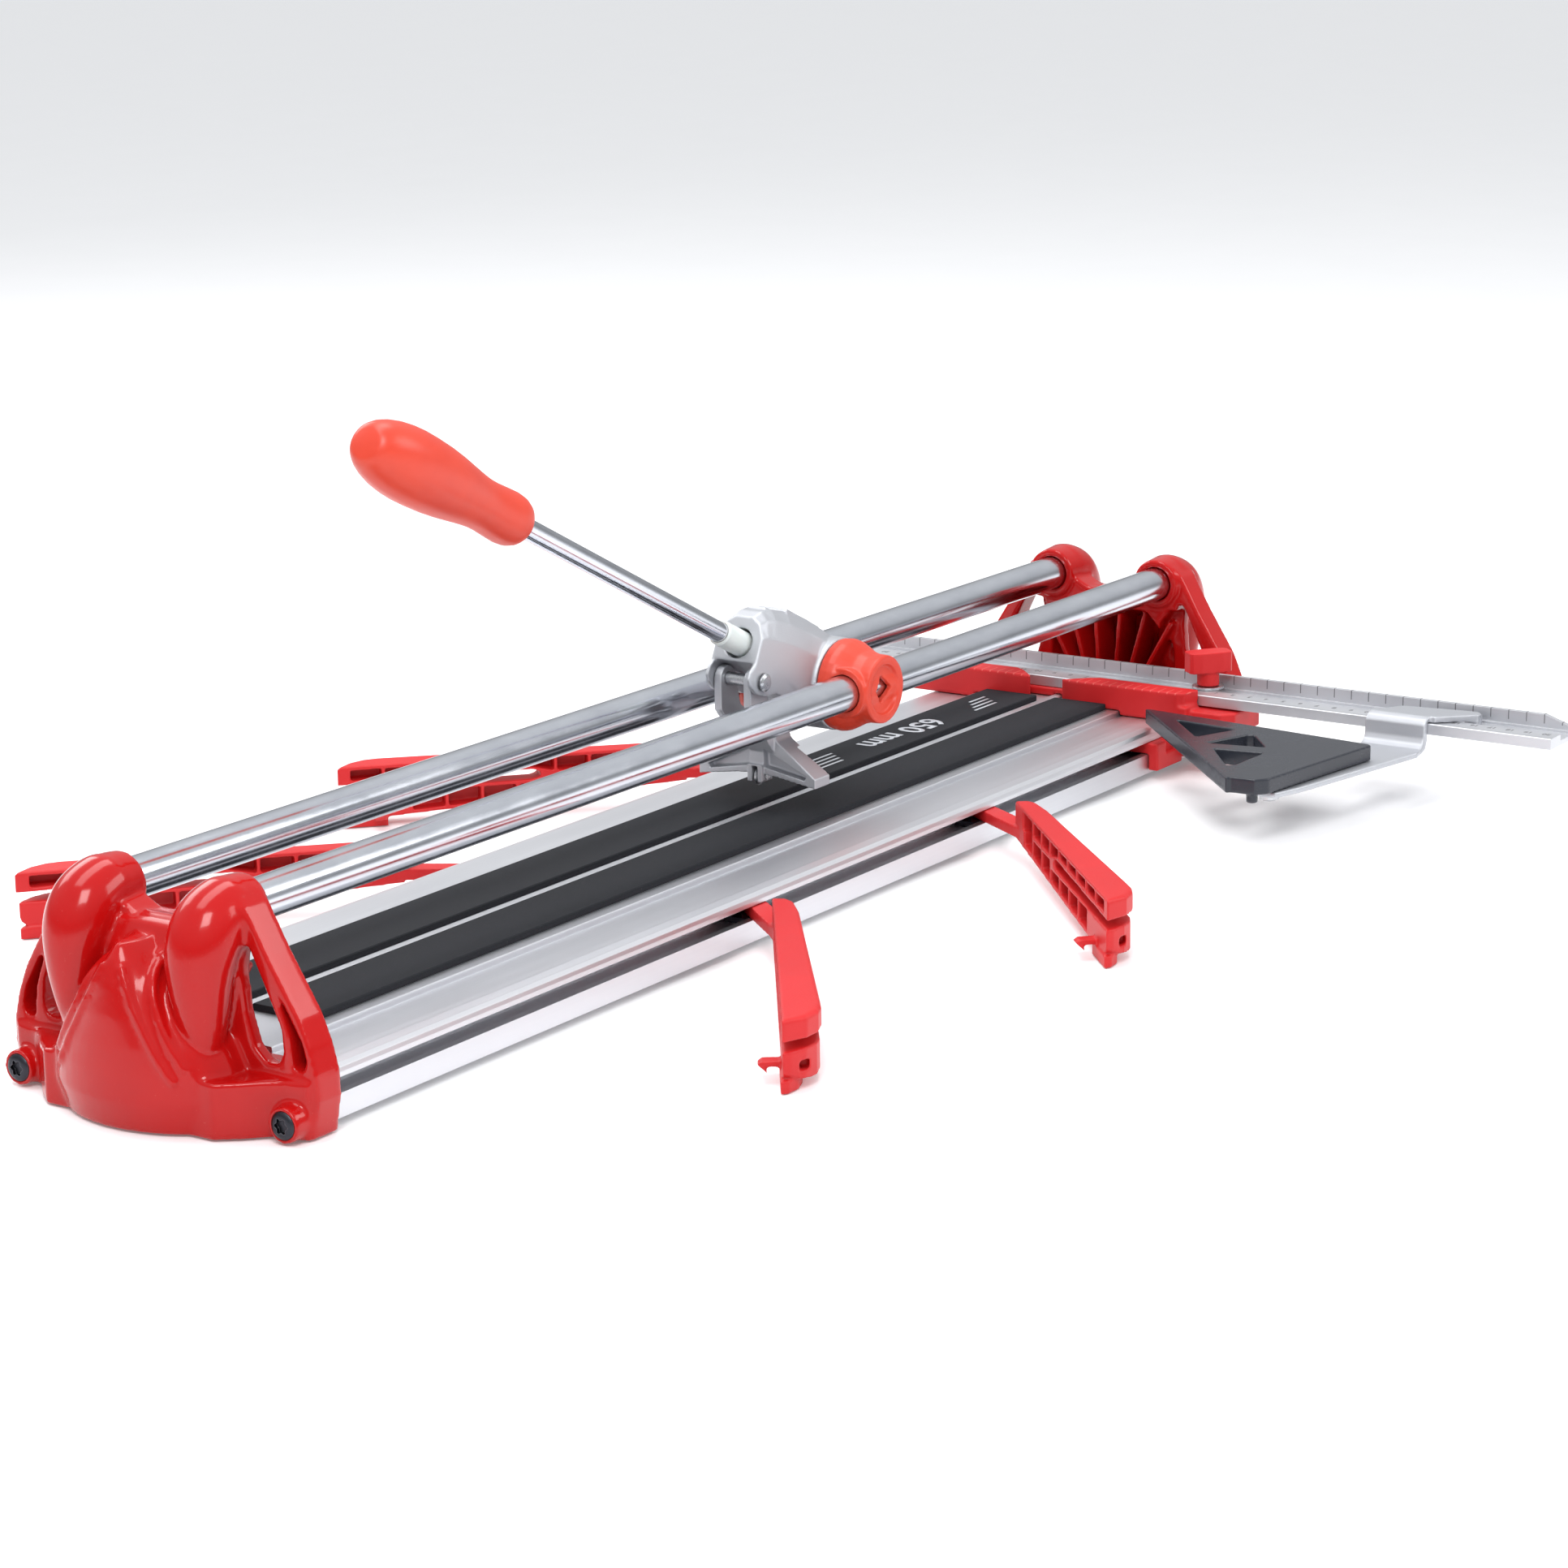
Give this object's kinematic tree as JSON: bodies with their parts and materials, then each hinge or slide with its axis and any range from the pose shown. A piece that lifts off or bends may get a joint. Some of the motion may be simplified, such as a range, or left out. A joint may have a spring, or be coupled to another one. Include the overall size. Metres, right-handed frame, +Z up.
{
  "type": "tile cutter",
  "caption": "Manual tile cutter: aluminium base with rubber pads, round rails between cast end stands, lever carriage with scoring wheel and breaker, sliding ruler stop, swing-out side arms.",
  "frame": {"origin": "on the bench plane, midway between the two rails and a little behind the middle of the base's length", "axes": "+X along the rails towards the ruler's end, +Y towards the far side (the ruler's stop is on the -Y side), +Z up"},
  "size_m": [0.857, 0.521, 0.2617],
  "materials": {
    "red_cast_paint": "gloss red paint over cast aluminium",
    "red_plastic": "satin moulded red plastic",
    "orange_plastic": "satin moulded orange-red plastic",
    "anodised_aluminium": "satin drawn lines along the length",
    "cast_aluminium": "sand-cast, fine grain",
    "chromed_steel": "bright chrome",
    "bright_steel": "turned",
    "blackened_steel": "black oxide",
    "black_rubber": "matt",
    "black_plastic": "satin moulded",
    "pale_plastic": "satin"
  },
  "bodies": {
    "base": {"stand_front": "red_cast_paint", "stand_rear": "red_cast_paint", "protractor_body": "red_plastic", "protractor_jaw": "red_plastic", "base_extrusion": "anodised_aluminium", "breaker_rib": "anodised_aluminium", "rail_near": "chromed_steel", "rail_far": "chromed_steel", "clamp_stud": "bright_steel", "clamp_washer": "bright_steel", "hinge_pin_near_front": "bright_steel", "hinge_pin_near_rear": "bright_steel", "hinge_pin_far_front": "bright_steel", "hinge_pin_far_rear": "bright_steel", "screw_front_near": "blackened_steel", "screw_front_far": "blackened_steel", "screw_rear_near": "blackened_steel", "screw_rear_far": "blackened_steel", "pad_near": "black_rubber", "pad_far": "black_rubber", "foot_front_near": "black_rubber", "foot_front_far": "black_rubber", "foot_rear_near": "black_rubber", "foot_rear_far": "black_rubber", "shoe_near_front": "black_plastic", "shoe_near_rear": "black_plastic", "shoe_far_front": "black_plastic", "shoe_far_rear": "black_plastic"},
    "carriage": {"bushing_near": "orange_plastic", "bushing_far": "orange_plastic", "cross_axle": "bright_steel"},
    "lever": {"lever_head": "cast_aluminium", "lever_rod": "chromed_steel", "rod_collar": "pale_plastic", "lever_grip": "orange_plastic", "breaker_pin": "chromed_steel"},
    "breaker": {"breaker_foot": "cast_aluminium", "wheel_axle": "chromed_steel"},
    "wheel": {"scoring_wheel": "bright_steel"},
    "ruler_bar": {"ruler": "anodised_aluminium"},
    "stop": {"stop_slide": "cast_aluminium", "square_screw": "bright_steel"},
    "square": {"mitre_square": "black_plastic"},
    "knob": {"clamp_knob": "red_plastic"},
    "arm_near_front": {"arm_near_front": "red_plastic"},
    "arm_near_rear": {"arm_near_rear": "red_plastic"},
    "arm_far_front": {"arm_far_front": "red_plastic"},
    "arm_far_rear": {"arm_far_rear": "red_plastic"}
  },
  "joints": [
    {"name": "carriage_slide", "type": "slide", "parent": "base", "child": "carriage", "axis": [1, 0, 0], "range_m": [-0.365, 0.24]},
    {"name": "lever_pivot", "type": "hinge", "parent": "carriage", "child": "lever", "pos_m": [0.079, 0, 0.0875], "axis": [0, 1, 0], "range_deg": [-7.5, 24]},
    {"name": "breaker_pivot", "type": "hinge", "parent": "lever", "child": "breaker", "pos_m": [0.02015, 0, 0.09882], "axis": [0, 1, 0], "range_deg": [-15, 15]},
    {"name": "wheel_spin", "type": "hinge", "parent": "breaker", "child": "wheel", "pos_m": [0.036, 0, 0.0475], "axis": [0, 1, 0], "continuous": true},
    {"name": "ruler_slide", "type": "slide", "parent": "base", "child": "ruler_bar", "axis": [0, 1, 0], "range_m": [-0.08, 0.004]},
    {"name": "stop_slide_along_ruler", "type": "slide", "parent": "ruler_bar", "child": "stop", "axis": [0, 1, 0], "range_m": [-0.04, 0.004]},
    {"name": "square_pivot", "type": "hinge", "parent": "stop", "child": "square", "pos_m": [0.208, -0.19, 0.0289], "axis": [0, 0, 1], "range_deg": [-5, 8]},
    {"name": "knob_turn", "type": "hinge", "parent": "base", "child": "knob", "pos_m": [0.346, -0.082, 0.0423], "axis": [0, 0, 1], "range_deg": [-180, 180]},
    {"name": "arm_near_front_swing", "type": "hinge", "parent": "base", "child": "arm_near_front", "pos_m": [-0.07, -0.0673, 0.0176], "axis": [0, 0, 1], "range_deg": [-29, 24.8]},
    {"name": "arm_near_rear_swing", "type": "hinge", "parent": "base", "child": "arm_near_rear", "pos_m": [0.133, -0.0673, 0.0176], "axis": [0, 0, 1], "range_deg": [-21.4, 41.6]},
    {"name": "arm_far_front_swing", "type": "hinge", "parent": "base", "child": "arm_far_front", "pos_m": [-0.083, 0.0673, 0.0176], "axis": [0, 0, 1], "range_deg": [-17.7, 36.3]},
    {"name": "arm_far_rear_swing", "type": "hinge", "parent": "base", "child": "arm_far_rear", "pos_m": [0.15, 0.0673, 0.0176], "axis": [0, 0, 1], "range_deg": [-41.7, 21.3]}
  ]
}
